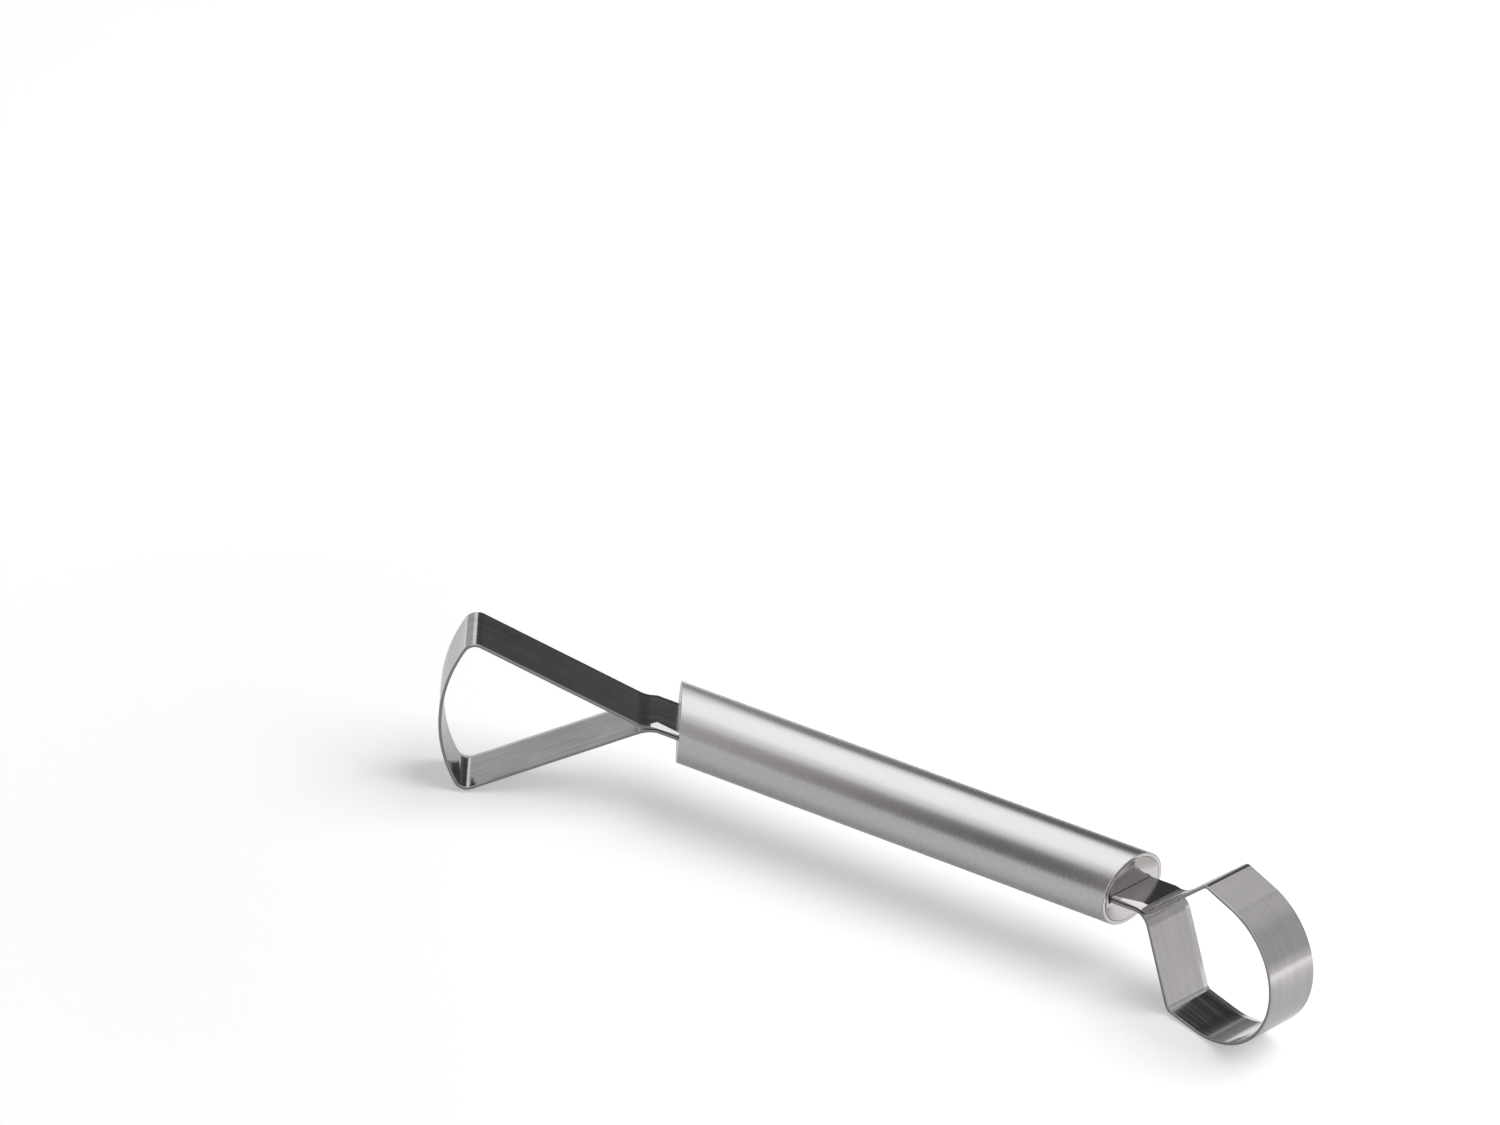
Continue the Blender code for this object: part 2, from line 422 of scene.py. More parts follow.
@dataclass
class Nodes:
    """A node tree, built up by short steps."""

    tree: bpy.types.NodeTree
    noise_roughness: float = 0.55

    def feed(self, target: Socket, value: Value) -> None:
        """Give an input its value.

        Args:
            target: The input.
            value: The output to link it to, or a constant.
        """
        if isinstance(value, Socket):
            self.tree.links.new(value, target)
        elif target.type == "RGBA":
            target.default_value = (*value, 1.0)
        else:
            target.default_value = value

    def add(self, kind: str, values: Values | None = None, **settings: str) -> bpy.types.Node:
        """Add a node.

        Args:
            kind: Blender's name for what it is.
            values: What its inputs are given.
            **settings: How it is set.

        Returns:
            The node.
        """
        node = self.tree.nodes.new(kind)
        for name, setting in settings.items():
            setattr(node, name, setting)
        for target, value in (values or {}).items():
            self.feed(node.inputs[target], value)
        return node

    def object_place(self) -> Socket:
        """Return the place on the object, in metres."""
        return self.add("ShaderNodeTexCoord").outputs["Object"]

    def object_axes(self, unit: float = 1.0) -> tuple[Socket, ...]:
        """Return the place on the object along X, Y and Z.

        Args:
            unit: The length that it is counted in.

        Returns:
            The three values.
        """
        values = {0: self.object_place(), "Scale": 1 / unit}
        scaled = self.add("ShaderNodeVectorMath", values, operation="SCALE")
        split = self.add("ShaderNodeSeparateXYZ", {"Vector": scaled.outputs["Vector"]})
        return tuple(split.outputs[axis] for axis in "XYZ")

    def distance(self, centre: Triple = ORIGIN) -> Socket:
        """Return how far the place on the object is from a point, in metres."""
        values = {0: self.object_place(), 1: centre}
        return self.add("ShaderNodeVectorMath", values, operation="DISTANCE").outputs["Value"]

    def noise(
        self, place: Socket, stretch: Triple, detail: float = 2.0, centre: Vector = Vector()
    ) -> Socket:
        """Add a stretched noise.

        Args:
            place: The coordinates that it reads, in metres.
            stretch: How dense it is along each axis.
            detail: How many finer noises it has.
            centre: The point that the pattern is centred on.

        Returns:
            Its value, from 0 to 1.
        """
        shift = [-c * s for c, s in zip(centre, stretch)]
        mapping = self.add("ShaderNodeMapping", {"Vector": place, "Location": shift, "Scale": stretch})
        values = {"Vector": mapping.outputs["Vector"], "Scale": 1.0, "Detail": detail}
        texture = self.add("ShaderNodeTexNoise", {**values, "Roughness": self.noise_roughness})
        return texture.outputs["Fac"]

    def ramp(self, value: Socket, start: Pair, stop: Pair, easing: str = "SMOOTHSTEP") -> Socket:
        """Take a value from one level to another.

        Args:
            value: The value to read.
            start: Where the change starts, and the level up to there.
            stop: Where it stops, and the level from there.
            easing: Blender's word for how it goes between.

        Returns:
            The level.
        """
        names = ("Value", "From Min", "To Min", "From Max", "To Max")
        values = dict(zip(names, (value, *start, *stop)))
        return self.add("ShaderNodeMapRange", values, interpolation_type=easing).outputs["Result"]

    def spread(self, noise: Socket, low: float = 0.0, high: float = 1.0) -> Socket:
        """Spread a noise over a range."""
        return self.ramp(noise, (NOISE_LOW, low), (NOISE_HIGH, high), "LINEAR")

    def calculate(self, operation: str, value: Socket, *others: Socket | float) -> Socket:
        """Add steps of arithmetic, one after another.

        Args:
            operation: Blender's word for what each step does.
            value: The value to start from.
            *others: What each step takes in.

        Returns:
            The result.
        """
        for other in others:
            node = self.add("ShaderNodeMath", {0: value, 1: other}, operation=operation)
            value = node.outputs["Value"]
        return value

    def mix(self, kind: str, first: Value, second: Value, share: Socket | float) -> Socket:
        """Mix two values or two colours.

        Args:
            kind: Blender's word for what they are.
            first: The first.
            second: The second.
            share: Share of the second.

        Returns:
            The mixture.
        """
        *targets, result = MIX_SOCKETS[kind]
        values = dict(zip(targets, (share, first, second)))
        return self.add("ShaderNodeMix", values, data_type=kind).outputs[result]

    def seen_share(self) -> Socket:
        """Tell what the camera sees, straight or in metal and glass.

        Returns:
            1 where it sees this, else 0.
        """
        rays = self.add("ShaderNodeLightPath").outputs
        in_object = (rays["Is Glossy Ray"], rays["Is Transmission Ray"])
        return self.calculate("MAXIMUM", rays["Is Camera Ray"], *in_object)


class Finish(Nodes):
    """A material with one shader."""

    def __init__(self, name: str) -> None:
        """Start the material.

        Args:
            name: Its name.
        """
        self.material = bpy.data.materials.new(name)
        self.material.use_nodes = True
        super().__init__(self.material.node_tree)
        self.shader = self.tree.nodes["Principled BSDF"]

    def shade(self, name: str, value: Value) -> None:
        """Give one input of the shader its value."""
        self.feed(self.shader.inputs[name], value)

    def make_metal(self, face: Socket, rough: Socket, lines: Socket, groove: float) -> None:
        """Make the shader a grooved metal.

        Args:
            face: Its colour.
            rough: Its roughness.
            lines: What its grooves follow.
            groove: How deep they are.
        """
        self.shade("Metallic", 1.0)
        self.shade("Base Color", face)
        self.shade("Roughness", rough)
        bump = self.add("ShaderNodeBump", {"Height": lines, "Distance": groove, "Strength": 1.0})
        self.shade("Normal", bump.outputs["Normal"])

    def stretch_highlights(self, anisotropy: float, **settings: str) -> None:
        """Stretch the highlights across a direction, which the settings of its node give."""
        self.shade("Anisotropic", anisotropy)
        self.shade("Tangent", self.add("ShaderNodeTangent", **settings).outputs["Tangent"])


@dataclass(frozen=True)
class BrushedTubeSteel:
    """Satin steel, brushed round the tube."""

    bright: Triple = (0.600, 0.591, 0.594)
    dull: Triple = (0.580, 0.570, 0.573)
    rough: Pair = (0.255, 0.285)
    groove: float = 0.00015 * MM
    anisotropy: float = 0.35
    fine: Triple = (5200.0, 90.0, 90.0)
    fine_detail: float = 4.0
    coarse: Triple = (900.0, 40.0, 40.0)
    coarse_share: float = 0.2
    cloud: Triple = (70.0, 110.0, 110.0)
    cloud_share: float = 0.5

    def material(self) -> bpy.types.Material:
        """Build the material.

        Returns:
            The material.
        """
        finish = Finish("brushed_tube_steel")
        place = finish.object_place()
        fine = finish.noise(place, self.fine, self.fine_detail, HANDLE.middle)
        coarse = finish.noise(place, self.coarse, centre=HANDLE.middle)
        cloud = finish.noise(place, self.cloud, centre=HANDLE.middle)
        lines = finish.mix("FLOAT", fine, coarse, self.coarse_share)
        tone = finish.mix("FLOAT", lines, cloud, self.cloud_share)
        face = finish.mix("RGBA", self.dull, self.bright, finish.spread(tone))
        finish.make_metal(face, finish.spread(lines, *self.rough), lines, self.groove)
        finish.stretch_highlights(self.anisotropy, direction_type="RADIAL", axis="X")
        return finish.material


@dataclass(frozen=True)
class CapSteel:
    """Polished steel of a cap, faintly warm, with a few fine lines."""

    name: str
    bright: Triple = (0.58, 0.55, 0.55)
    dull: Triple = (0.52, 0.49, 0.48)
    rough: Pair = (0.10, 0.17)
    groove: float = 0.001 * MM
    fine: Triple = (700.0, 500.0, 5200.0)
    fine_detail: float = 3.0
    cloud: Triple = (180.0, 180.0, 180.0)

    def material(self) -> bpy.types.Material:
        """Build the material.

        Returns:
            The material.
        """
        finish = Finish(self.name)
        lines = finish.noise(finish.object_place(), self.fine, self.fine_detail)
        cloud = finish.noise(finish.object_place(), self.cloud)
        face = finish.mix("RGBA", self.dull, self.bright, finish.spread(cloud))
        finish.make_metal(face, finish.spread(lines, *self.rough), lines, self.groove)
        return finish.material


@dataclass(frozen=True)
class StripSteel:
    """Polished strip with fine lines along its length."""

    name: str
    bright: Triple
    dull: Triple
    cut_edge: Triple = (0.30, 0.29, 0.29)
    cut_rough: float = 0.36
    rough: Pair = (0.08, 0.17)
    groove: float = 0.001 * MM
    anisotropy: float = 0.3
    fine: Triple = (50.0, 2600.0, 1.0)
    coarse: Triple = (22.0, 900.0, 1.0)
    coarse_share: float = 0.6
    cloud: Triple = (120.0, 120.0, 120.0)
    cloud_share: float = 0.35

    def material(self) -> bpy.types.Material:
        """Build the material.

        Returns:
            The material.
        """
        finish = Finish(self.name)
        strip = finish.add("ShaderNodeUVMap", uv_map=STRIP_MAP).outputs["UV"]
        fine, coarse = finish.noise(strip, self.fine), finish.noise(strip, self.coarse)
        cloud = finish.noise(finish.object_place(), self.cloud)
        lines = finish.mix("FLOAT", fine, coarse, self.coarse_share)
        tone = finish.mix("FLOAT", lines, cloud, self.cloud_share)
        face = finish.mix("RGBA", self.dull, self.bright, finish.spread(tone))
        cut = finish.add("ShaderNodeAttribute", attribute_name=CUT_EDGE).outputs["Fac"]
        sawn = finish.calculate("MULTIPLY", cut, self.cut_rough)
        rough = finish.calculate("MAXIMUM", finish.spread(lines, *self.rough), sawn)
        finish.make_metal(finish.mix("RGBA", face, self.cut_edge, cut), rough, lines, self.groove)
        finish.stretch_highlights(self.anisotropy, direction_type="UV_MAP", uv_map=STRIP_MAP)
        return finish.material


@dataclass
class HandleTube:
    """The brushed tube, cut on the slant at both ends."""

    sides: int = 192
    spare: float = 12.0 * MM
    rim_angle: float = 40.0 * DEG
    rim_round: float = 0.16 * MM
    rim_segments: int = 3
    smooth_angle: float = 35.0 * DEG
    end_facing: float = 0.99
    finish: BrushedTubeSteel = BrushedTubeSteel()
    rim_finish: CapSteel = CapSteel("polished_rim_steel")

    def build(self) -> Piece:
        """Model and dress the tube.

        Returns:
            The finished piece.
        """
        tube = add_primitive(
            "brushed_tube", bpy.ops.mesh.primitive_cylinder_add,
            vertices=self.sides, radius=HANDLE.radius, end_fill_type="NOTHING",
            depth=HANDLE.high.x - HANDLE.low.x + 2 * self.spare,
            location=HANDLE.middle, rotation=(0.0, QUARTER_TURN, 0.0),
        )
        modify(tube, "SOLIDIFY", thickness=HANDLE.wall, offset=-1.0)
        ways_out = [self._cut(tube, end_frame(end)) for end in End]
        round_edges(
            tube, lambda edge: edge.calc_face_angle(0.0) > self.rim_angle,
            self.rim_round, self.rim_segments, self.smooth_angle,
        )
        for finish in (self.finish, self.rim_finish):
            tube.data.materials.append(finish.material())
        for face in tube.data.polygons:
            if any(face.normal.dot(way_out) > self.end_facing for way_out in ways_out):
                face.material_index = 1
        return tube

    def _cut(self, tube: Piece, place: Matrix) -> Vector:
        """Cut one end on the slant and close the wall's edge.

        Args:
            tube: The tube.
            place: Frame of the cap at that end.

        Returns:
            The way that the cut faces.
        """
        middle = place.translation
        outward = (place.to_3x3() @ Vector((1.0, 0.0, 0.0))).normalized()
        enter_edit(tube, "SELECT")
        bpy.ops.mesh.bisect(
            plane_co=middle, plane_no=outward, use_fill=False, clear_inner=False, clear_outer=True
        )
        select_edges(
            tube,
            lambda edge: edge.is_boundary
            and all(abs((v.co - middle).dot(outward)) < NEAR for v in edge.verts),
        )
        bpy.ops.mesh.bridge_edge_loops()
        bpy.ops.object.mode_set(mode="OBJECT")
        return outward


@dataclass
class EndCap:
    """A polished cap with its slot, cut by a block whose depth is in cap thicknesses."""

    end: End
    sides: int = 160
    rim_angle: float = 40.0 * DEG
    rim_round: float = 0.10 * MM
    rim_segments: int = 2
    smooth_angle: float = 30.0 * DEG
    block_depth: float = 3.0
    finish: CapSteel = CapSteel("polished_cap_steel")

    def build(self) -> Piece:
        """Model and dress the cap.

        Returns:
            The finished piece.
        """
        cant = LOOPS[self.end].cant
        cap = add_primitive(
            f"{self.end.value}_cap_plate", bpy.ops.mesh.primitive_circle_add,
            vertices=self.sides, radius=HANDLE.bore - HANDLE.seam, fill_type="NGON",
            rotation=(0.0, QUARTER_TURN, 0.0),
        )
        cap.scale.y = 1.0 / math.cos(cant)
        bake_place(cap)
        extrude_solid(cap, (-HANDLE.cap_thickness, -HANDLE.cap_thickness * math.tan(cant), 0.0))
        self._cut_slot(cap)
        round_edges(
            cap,
            lambda edge: edge.calc_face_angle(0.0) > self.rim_angle
            and all(abs(v.co.x) < NEAR for v in edge.verts),
            self.rim_round, self.rim_segments, self.smooth_angle,
        )
        settle(cap, end_frame(self.end))
        cap.data.materials.append(self.finish.material())
        return cap

    def _cut_slot(self, cap: Piece) -> None:
        """Cut the slot that the tang passes, in line with the handle.

        Args:
            cap: The cap, in its own frame.
        """
        sizes = LOOPS[self.end]
        blunt, sharp = sizes.tang_rims
        low = blunt - HANDLE.slot_end_space
        high = sharp + HANDLE.slot_clearance
        height = 2 * (STRIP.tang_half_height + HANDLE.slot_clearance)
        slant = math.tan(sizes.cant)
        front = HANDLE.cap_thickness
        depth = self.block_depth * front
        cutter = add_primitive(
            "slot_cutter", bpy.ops.mesh.primitive_plane_add, size=1.0, rotation=(0.0, QUARTER_TURN, 0.0)
        )
        cutter.scale = (1.0, high - low, height)
        cutter.location = (front, (low + high) / 2 + front * slant, 0.0)
        bake_place(cutter)
        extrude_solid(cutter, (-depth, -depth * slant, 0.0))
        modify(cap, "BOOLEAN", operation="DIFFERENCE", solver="EXACT", object=cutter)
        bpy.data.objects.remove(cutter, do_unlink=True)


@dataclass
class LeadingEdge:
    """The edge that a sheet in edit mode is carried on from, and the point it crosses."""

    sheet: Piece
    here: Vector
    fine_step: float = 2.0 * DEG
    tight_step: float = 5.0 * DEG
    tight_radius: float = 5.0 * MM

    def select(self) -> None:
        """Select the edge, and stop where it can't be told from others."""
        found = select_edges(
            self.sheet,
            lambda edge: all(
                abs(v.co.x - self.here.x) < NEAR and abs(v.co.z - self.here.y) < NEAR for v in edge.verts
            ),
        )
        if found != 1:
            raise ValueError(f"{self.sheet.name}: {found} edges cross {self.here}")

    def run(self, there: Vector, across: float = 0.0) -> None:
        """Carry the sheet straight on, unless it is there already.

        Args:
            there: Where to carry it.
            across: How far it slides across on the way.
        """
        step = there - self.here
        if step.length < NEAR:
            return
        self.select()
        bpy.ops.mesh.extrude_region_move(TRANSFORM_OT_translate={"value": (step.x, across, step.y)})
        self.here = there

    def bend(self, centre: Vector, turn: float) -> None:
        """Carry the sheet round a bend.

        Args:
            centre: The centre of the bend.
            turn: How far to turn, from X towards Z.
        """
        spoke = self.here - centre
        step = self.tight_step if spoke.length < self.tight_radius else self.fine_step
        self.select()
        bpy.ops.mesh.spin(
            steps=math.ceil(abs(turn) / step), angle=turn,
            center=(centre.x, 0.0, centre.y), axis=(0.0, 1.0, 0.0),
        )
        self.here = centre + Matrix.Rotation(turn, 2) @ spoke


@dataclass
class BladeLoop:
    """One ground strip, bent into its loop."""

    end: End
    finish: StripSteel
    fold_steps: int = 8
    same_place: float = 0.001 * MM
    rim_angle: float = 60.0 * DEG
    rim_slant: float = 0.7
    rim_segments: int = 3
    smooth_angle: float = 12.0 * DEG
    cut_facing: float = 0.8
    map_step: float = 0.5 * MM
    arc_steps: int = 24

    def __post_init__(self) -> None:
        """Look up the sizes and draw both halves of the outline."""
        self.sizes = LOOPS[self.end]
        self.upper = HalfOutline.draw(self.sizes, 1.0)
        self.lower = HalfOutline.draw(self.sizes, -1.0)

    @property
    def tang_end(self) -> float:
        """Place of the strip's two ends, behind the cap."""
        return -HANDLE.cap_thickness - HANDLE.tang_past_cap

    @property
    def corner_turn(self) -> float:
        """How far the strip turns at each of its two corners."""
        return self.sizes.half_opening + self.sizes.shoulder_fall

    @property
    def top_side(self) -> float:
        """Side of the loop's own frame that is uppermost in the row frame."""
        return -1.0 if self.end is End.LARGE else 1.0

    @property
    def slope_stations(self) -> Triple:
        """Distances out of the cap where the tang's slope is set out."""
        half = self.upper if self.top_side > 0.0 else self.lower
        return 0.0, self.sizes.slide_length, half.fold_start.x

    def build(self) -> Piece:
        """Model and dress the loop.

        Returns:
            The finished piece.
        """
        strip = self._bend_sheet()
        self._thicken(strip)
        self._grind_tang(strip)
        self._round_rims(strip)
        self._mark_cut_edge(strip)
        self._lay_map(strip)
        modify(strip, "WEIGHTED_NORMAL", keep_sharp=True)
        settle(strip, end_frame(self.end))
        strip.data.materials.append(self.finish.material())
        return strip

    def _bend_sheet(self) -> Piece:
        """Lay the outer face of the strip: a plane, then straight runs and bends.

        Returns:
            The open sheet.
        """
        sizes, upper, lower = self.sizes, self.upper, self.lower
        blunt, sharp = sizes.tang_rims
        height = STRIP.tang_half_height
        slid = sizes.slide(sizes.slide_length)
        sheet = add_primitive(f"{self.end.value}_strip_loop", bpy.ops.mesh.primitive_plane_add, size=1.0)
        enter_edit(sheet, "SELECT")
        bpy.ops.transform.resize(value=(-self.tang_end, sharp - blunt, 1.0))
        bpy.ops.transform.translate(value=(self.tang_end / 2, (blunt + sharp) / 2, height))
        LeadingEdge(sheet, Vector((self.tang_end, height))).select()
        bpy.ops.transform.translate(value=(0.0, sizes.slide(self.tang_end), 0.0))

        front = LeadingEdge(sheet, Vector((0.0, height)))
        front.run(Vector((sizes.slide_length, height)), slid)
        front.run(upper.fold_start)
        self._fold(front, upper, 1.0)
        front.run(upper.leg_end)
        front.bend(upper.corner_centre, -self.corner_turn)
        front.run(upper.shoulder_end)
        front.bend(upper.end_centre, 2 * sizes.shoulder_fall - math.pi)
        front.run(lower.corner_end)
        front.bend(lower.corner_centre, -self.corner_turn)
        front.run(lower.leg_start)
        self._fold(front, lower, -1.0)
        front.run(Vector((sizes.slide_length, -height)))
        front.run(Vector((0.0, -height)), -slid)
        front.run(Vector((self.tang_end, -height)), sizes.slide(self.tang_end))

        bpy.ops.mesh.select_all(action="SELECT")
        bpy.ops.mesh.remove_doubles(threshold=self.same_place)
        bpy.ops.mesh.normals_make_consistent(inside=False)
        faces = bmesh.from_edit_mesh(sheet.data).faces
        if max(faces, key=lambda face: face.calc_center_median().z).normal.z < 0.0:
            bpy.ops.mesh.flip_normals()
        ground = (0.0, sizes.blade_rims[1] - STRIP.grind_width, 0.0)
        bpy.ops.mesh.select_all(action="SELECT")
        bpy.ops.mesh.bisect(plane_co=ground, plane_no=(0.0, 1.0, 0.0))
        self._cut_tang_slope(sheet)
        bpy.ops.object.mode_set(mode="OBJECT")
        return sheet

    def _fold(self, front: LeadingEdge, half: HalfOutline, way: float) -> None:
        """Carry the sheet round a fold, as its rims spread from the tang's to the blade's.

        Args:
            front: The sheet's leading edge.
            half: The half of the outline that the fold is in.
            way: 1 from the tang to the blade, -1 back.
        """
        slid = self.sizes.slide(self.sizes.slide_length)
        ends = [(t + slid, b) for t, b in zip(self.sizes.tang_rims, self.sizes.blade_rims)]
        shares = [i / self.fold_steps for i in range(self.fold_steps + 1)]
        rims = [[tang + (blade - tang) * share for tang, blade in ends] for share in shares]
        if way < 0.0:
            rims.reverse()
        for before, after in zip(rims, rims[1:]):
            front.bend(half.fold_centre, half.fold_turn / self.fold_steps)
            middle = sum(before) / 2
            bpy.ops.transform.resize(
                value=(1.0, (after[1] - after[0]) / (before[1] - before[0]), 1.0),
                center_override=(front.here.x, middle, front.here.y),
            )
            bpy.ops.transform.translate(value=(0.0, sum(after) / 2 - middle, 0.0))

    def _on_tang_top(self, place: Vector) -> bool:
        """Tell whether a point is at the height of the tang's uppermost face."""
        return abs(place.z * self.top_side - STRIP.tang_half_height) < NEAR

    def _cut_tang_slope(self, sheet: Piece) -> None:
        """Cut the top of the tang along the line where the slope on its blunt rim starts.

        Args:
            sheet: The sheet in edit mode.
        """
        rim = self.sizes.tang_rims[0]
        marks = []
        for out, width in zip(self.slope_stations, self.sizes.slope_widths):
            marks.append(Vector((out, rim + self.sizes.slide(out) + width, 0.0)))
        for near, far in zip(marks, marks[1:]):
            bpy.ops.mesh.select_all(action="DESELECT")
            for face in bmesh.from_edit_mesh(sheet.data).faces:
                if all(
                    near.x - NEAR < v.co.x < far.x + NEAR and self._on_tang_top(v.co) for v in face.verts
                ):
                    face.select_set(True)
            bmesh.update_edit_mesh(sheet.data)
            across = (far - near).normalized().cross(Vector((0.0, 0.0, 1.0)))
            bpy.ops.mesh.bisect(plane_co=near, plane_no=across)

    def _grind_tang(self, strip: Piece) -> None:
        """Lower the blunt rim on top of the tang, so that it slopes to the front.

        Args:
            strip: The closed strip, in its own frame.
        """
        for place in [vertex.co for vertex in strip.data.vertices if self._on_tang_top(vertex.co)]:
            for out, depth in zip(self.slope_stations, self.sizes.slope_depths):
                rim = self.sizes.tang_rims[0] + self.sizes.slide(out)
                if abs(place.x - out) < NEAR and abs(place.y - rim) < NEAR:
                    place.z -= depth * self.top_side

    def _thicken(self, sheet: Piece) -> None:
        """Give the sheet its steel, thinned towards the sharp rim of the loop.

        Args:
            sheet: The open sheet.
        """
        ground_rim = self.sizes.blade_rims[1] - STRIP.grind_width / 2
        thin = STRIP.edge_thickness / STRIP.thickness
        weights = sheet.vertex_groups.new(name="steel")
        for vertex in sheet.data.vertices:
            half = self.upper if vertex.co.z > 0.0 else self.lower
            made = (vertex.co.x - half.fold_start.x) / (half.leg_start.x - half.fold_start.x)
            ground = min(1.0, max(0.0, made)) if vertex.co.y > ground_rim else 0.0
            weights.add([vertex.index], 1.0 + (thin - 1.0) * ground, "REPLACE")
        modify(
            sheet, "SOLIDIFY", thickness=STRIP.thickness, offset=-1.0,
            use_even_offset=True, vertex_group=weights.name,
        )
        sheet.vertex_groups.clear()

    def _mark_cut_edge(self, strip: Piece) -> None:
        """Mark the faces where the strip was cut to its width.

        Args:
            strip: The closed strip, in its own frame.
        """
        marks = strip.data.color_attributes.new(name=CUT_EDGE, type="FLOAT_COLOR", domain="CORNER")
        for face in strip.data.polygons:
            mark = WHITE if abs(face.normal.y) > self.cut_facing else BLACK
            for corner in face.loop_indices:
                marks.data[corner].color = (*mark, 1.0)

    def _round_rims(self, strip: Piece) -> None:
        """Round the long arrises of the blunt rim of the blade, and shade the strip.

        Args:
            strip: The closed strip.
        """
        def on_blunt_rim(edge: bmesh.types.BMEdge) -> bool:
            """Tell whether an edge is one of them."""
            one, other = (v.co for v in edge.verts)
            return (
                edge.calc_face_angle(0.0) > self.rim_angle
                and min(one.x, other.x) > self.upper.leg_start.x - NEAR
                and (one.y + other.y) / 2 < self.sizes.blade_middle
                and abs(one.y - other.y) < self.rim_slant * edge.calc_length()
            )

        round_edges(strip, on_blunt_rim, STRIP.rim_round, self.rim_segments, self.smooth_angle)

    def _half_points(self, half: HalfOutline, side: float) -> list[Vector]:
        """Return points along one half of the outline, from the tang's end to the far tip.

        Args:
            half: The half of the outline.
            side: 1 for the upper half, -1 for the lower.

        Returns:
            The points in order.
        """
        arcs = (
            (half.fold_start, half.fold_centre, half.fold_turn),
            (half.leg_end, half.corner_centre, -self.corner_turn),
            (half.shoulder_end, half.end_centre, self.sizes.shoulder_fall - QUARTER_TURN),
        )
        points = [Vector((self.tang_end, side * STRIP.tang_half_height))]
        for start, centre, turn in arcs:
            for i in range(self.arc_steps + 1):
                spoke = Matrix.Rotation(side * turn * i / self.arc_steps, 2) @ (start - centre)
                points.append(centre + spoke)
        return points

    def _stations(self) -> Iterable[tuple[Vector, float]]:
        """Walk the outline from one end of the strip to the other.

        Yields:
            Points in the plane of the loop, with the distance walked.
        """
        corners = self._half_points(self.upper, 1.0)
        corners += reversed(self._half_points(self.lower, -1.0)[:-1])
        walked = 0.0
        for before, after in zip(corners, corners[1:]):
            gap = (after - before).length
            pieces = max(1, math.ceil(gap / self.map_step))
            for i in range(pieces):
                yield before.lerp(after, i / pieces), walked + gap * i / pieces
            walked += gap

    def _lay_map(self, strip: Piece) -> None:
        """Give the strip a map of the distance along and across it, in metres.

        Args:
            strip: The closed strip, in its own frame.
        """
        stations = list(self._stations())
        tree = KDTree(len(stations))
        for index, (point, _) in enumerate(stations):
            tree.insert((point.x, 0.0, point.y), index)
        tree.balance()
        for old in list(strip.data.uv_layers):
            strip.data.uv_layers.remove(old)
        layer = strip.data.uv_layers.new(name=STRIP_MAP)
        for corner in strip.data.loops:
            place = strip.data.vertices[corner.vertex_index].co
            _, index, _ = tree.find((place.x, 0.0, place.z))
            layer.data[corner.index].uv = (stations[index][1], place.y - self.sizes.slide(place.x))


def lay_sheet(name: str, size: Pair, place: Triple, tilt: float = 0.0) -> Piece:
    """Lay a flat sheet.

    Args:
        name: Name of the sheet.
        size: Its width and depth.
        place: Its middle.
        tilt: How far it is turned up about its width.

    Returns:
        The sheet.
    """
    sheet = add_primitive(name, bpy.ops.mesh.primitive_plane_add, size=1.0)
    sheet.scale = (*size, 1.0)
    sheet.rotation_euler.x = tilt
    sheet.location = place
    bake_place(sheet)
    return sheet


def make_card(card: Piece, finish: Finish, glow: Socket | float, tint: Triple = WHITE) -> None:
    """Make an object a studio card, which only the slicer's reflections show.

    Args:
        card: The object.
        finish: Its material.
        glow: Strength of its glow.
        tint: Colour of its glow.
    """
    finish.shade("Base Color", BLACK)
    finish.shade("Specular IOR Level", 0.0)
    finish.shade("Emission Color", tint)
    finish.shade("Emission Strength", glow)
    card.data.materials.append(finish.material)
    card.visible_camera = False
    card.visible_diffuse = False
    card.visible_shadow = False


